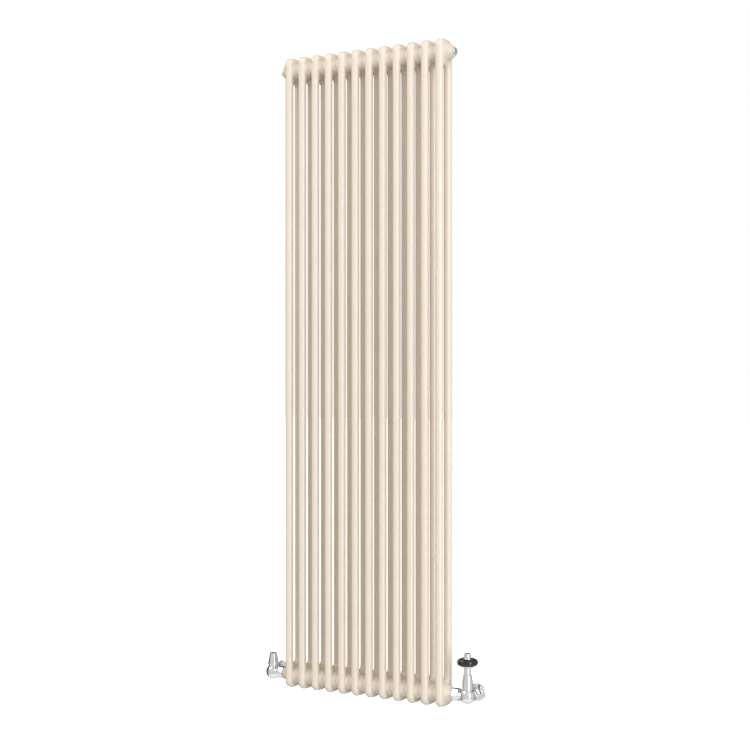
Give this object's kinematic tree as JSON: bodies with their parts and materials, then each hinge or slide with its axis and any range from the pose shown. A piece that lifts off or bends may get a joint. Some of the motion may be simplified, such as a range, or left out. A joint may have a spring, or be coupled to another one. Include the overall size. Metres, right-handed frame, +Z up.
{
  "type": "two-column sectional radiator with corner valves",
  "caption": "Tall two-column tubular radiator of joined sections, with brackets, plugs, a thermostatic corner valve and a lockshield corner valve.",
  "frame": {"origin": "on the wall plane, at the centre of the rectangle of the four lower bracket screw holes, half way up and half way along the radiator", "axes": "+X to the right seen from the room, +Y into the wall, +Z up"},
  "size_m": [0.695, 0.1111, 1.8],
  "materials": {
    "painted_steel": "cream powder coat, satin gloss",
    "chrome": "polished chrome plate",
    "black_wheel": "gloss black moulding",
    "bare_brass": "machined",
    "bare_steel": "turned",
    "seal": "matt",
    "bracket_liner": "moulded"
  },
  "bodies": {
    "radiator": {"blanking_plug": "chrome", "bottom_nipples": "bare_steel", "bracket_bottom_left": "painted_steel", "bracket_bottom_right": "painted_steel", "bracket_pads": "bracket_liner", "bracket_top_left": "painted_steel", "bracket_top_right": "painted_steel", "bush_bottom_left": "painted_steel", "bush_bottom_right": "painted_steel", "bush_gaskets": "seal", "bush_top_left": "painted_steel", "bush_top_right": "painted_steel", "hub_gaskets": "seal", "lockshield_body": "chrome", "lockshield_compression_nut": "chrome", "lockshield_gland": "chrome", "lockshield_olive": "bare_brass", "lockshield_pipe": "chrome", "lockshield_rosette": "chrome", "lockshield_tail": "chrome", "lockshield_union_nut": "chrome", "plug_seals": "seal", "section_01": "painted_steel", "section_02": "painted_steel", "section_03": "painted_steel", "section_04": "painted_steel", "section_05": "painted_steel", "section_06": "painted_steel", "section_07": "painted_steel", "section_08": "painted_steel", "section_09": "painted_steel", "section_10": "painted_steel", "section_11": "painted_steel", "section_12": "painted_steel", "top_nipples": "bare_steel", "trv_body": "chrome", "trv_bonnet": "chrome", "trv_compression_nut": "chrome", "trv_gland": "bare_brass", "trv_insert": "bare_brass", "trv_olive": "bare_brass", "trv_pipe": "chrome", "trv_rosette": "chrome", "trv_spring": "bare_steel", "trv_tail": "chrome", "trv_union_nut": "chrome", "vent_plug": "chrome"},
    "trv_stem": {"trv_pin": "bare_steel", "trv_disc": "seal", "trv_capsule": "bare_brass"},
    "trv_handwheel": {"trv_spindle": "bare_steel", "trv_hub": "chrome", "trv_wheel": "black_wheel", "trv_cap": "chrome"},
    "lockshield_stem": {"lockshield_disc": "seal"},
    "lockshield_key_spindle": {"lockshield_spindle": "bare_brass"},
    "lockshield_cover": {"lockshield_cap": "chrome"},
    "bleed_valve": {"bleed_screw": "chrome"}
  },
  "joints": [
    {"name": "trv_lift", "type": "slide", "parent": "radiator", "child": "trv_stem", "axis": [0, 0, 1], "range_m": [0, 0.0025], "deforming": ["trv_spring"]},
    {"name": "trv_turn", "type": "hinge", "parent": "trv_stem", "child": "trv_handwheel", "pos_m": [0.3209, -0.057, -0.864], "axis": [0, 0, 1], "range_deg": [0, 300]},
    {"name": "lockshield_lift", "type": "slide", "parent": "radiator", "child": "lockshield_stem", "axis": [0, 0, 1], "range_m": [0, 0.0025]},
    {"name": "lockshield_turn", "type": "hinge", "parent": "lockshield_stem", "child": "lockshield_key_spindle", "pos_m": [-0.3209, -0.057, -0.864], "axis": [0, 0, 1], "range_deg": [0, 900]},
    {"name": "lockshield_cover_lift", "type": "slide", "parent": "radiator", "child": "lockshield_cover", "axis": [0, 0, 1], "range_m": [0, 0.045]},
    {"name": "bleed_turn", "type": "hinge", "parent": "radiator", "child": "bleed_valve", "pos_m": [0.28, -0.057, 0.864], "axis": [1, 0, 0], "range_deg": [0, 360]}
  ],
  "couplings": [
    {"joint": "trv_turn", "follows": "trv_lift", "rad_per_m": 2094.4},
    {"joint": "lockshield_turn", "follows": "lockshield_lift", "rad_per_m": 6283.1}
  ]
}
